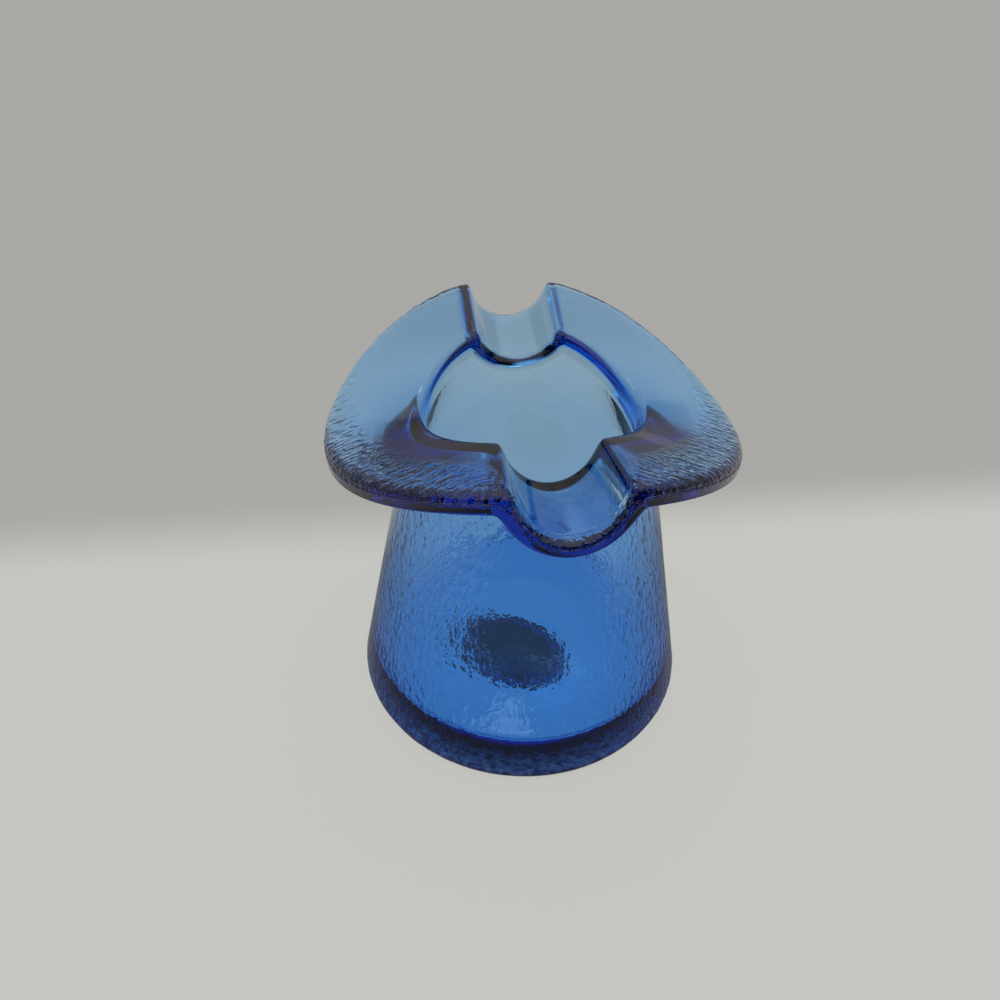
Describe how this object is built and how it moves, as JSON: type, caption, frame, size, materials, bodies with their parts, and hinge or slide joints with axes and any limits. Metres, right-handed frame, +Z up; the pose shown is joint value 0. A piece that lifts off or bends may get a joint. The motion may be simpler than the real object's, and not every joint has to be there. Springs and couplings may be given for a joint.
{
  "type": "glass hat",
  "caption": "Small blue pressed-glass top hat standing on its crown, with a pebbled tapered wall, a saddle-shaped brim and half-round rests pressed across the brim.",
  "frame": {"origin": "middle of the foot, on the surface that the hat stands on", "axes": "+Z up through the mouth, -Y towards the front rest, +Y towards the rear rest, X across the drooping sides of the brim"},
  "size_m": [0.0716, 0.076, 0.0703],
  "materials": {
    "glass": "clear blue pressed glass, pebbled on the wall and wrinkled along the brim's edge",
    "label": "plain dark stuck-on label without print"
  },
  "bodies": {
    "root": {"base_disc": "glass", "crown_wall": "glass", "mouth_ring": "glass", "brim_right": "glass", "brim_left": "glass", "front_rest": "glass", "rear_rest": "glass", "base_label": "label"}
  },
  "joints": []
}
